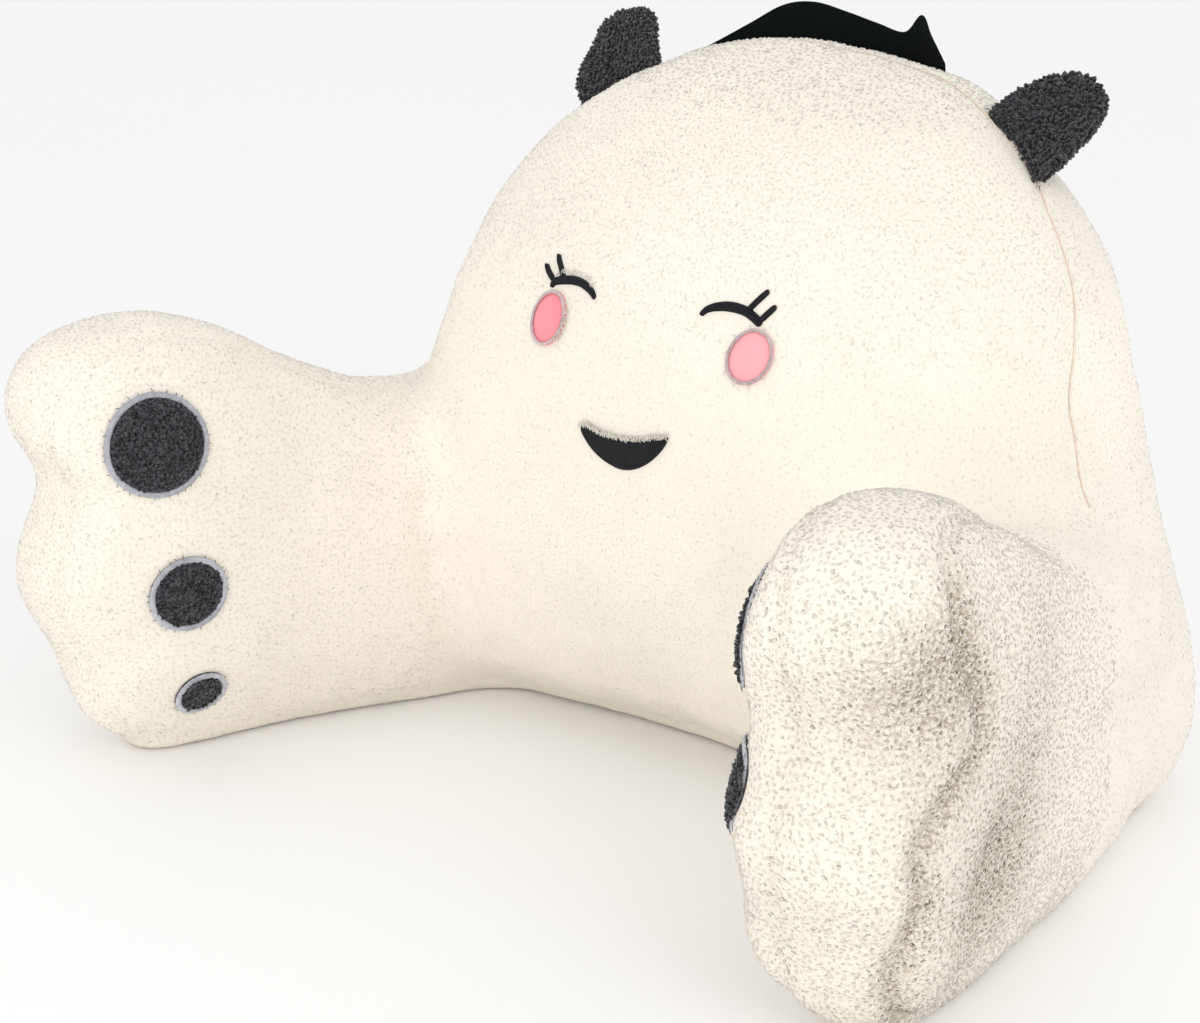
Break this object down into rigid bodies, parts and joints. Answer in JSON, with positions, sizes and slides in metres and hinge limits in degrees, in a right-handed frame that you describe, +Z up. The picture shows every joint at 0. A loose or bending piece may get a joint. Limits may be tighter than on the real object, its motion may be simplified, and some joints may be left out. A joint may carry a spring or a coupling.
{
  "type": "backrest pillow",
  "caption": "Plush backrest pillow: a filled domed back with two filled arms, sewn-on ears, paw pads and a webbing carry handle.",
  "frame": {"origin": "middle of the back cushion's flat underside, on the surface the pillow stands on", "axes": "+Z up; -Y is the front, where the arms reach; +X is across the pillow, towards its arm_right side"},
  "size_m": [0.7346, 0.5626, 0.4947],
  "materials": {
    "cream_fleece": "curly cream teddy fleece pile, matte",
    "charcoal_fleece": "curly charcoal teddy fleece pile, matte",
    "black_webbing": "woven black webbing, low sheen",
    "pink_patch": "smooth pink applique cloth",
    "black_thread": "black satin stitch embroidery thread",
    "silver_thread": "silver grey satin stitch border thread",
    "pale_pink_thread": "pale pink satin stitch border thread"
  },
  "bodies": {
    "root": {"back_cushion": "cream_fleece", "arm_left": "cream_fleece", "arm_right": "cream_fleece", "ear_left": "charcoal_fleece", "ear_right": "charcoal_fleece", "pad_left_large": "charcoal_fleece", "pad_left_middle": "charcoal_fleece", "pad_left_small": "charcoal_fleece", "pad_right_large": "charcoal_fleece", "pad_right_middle": "charcoal_fleece", "pad_right_small": "charcoal_fleece", "cheek_left": "pink_patch", "cheek_right": "pink_patch", "handle_strap": "black_webbing"}
  },
  "joints": []
}
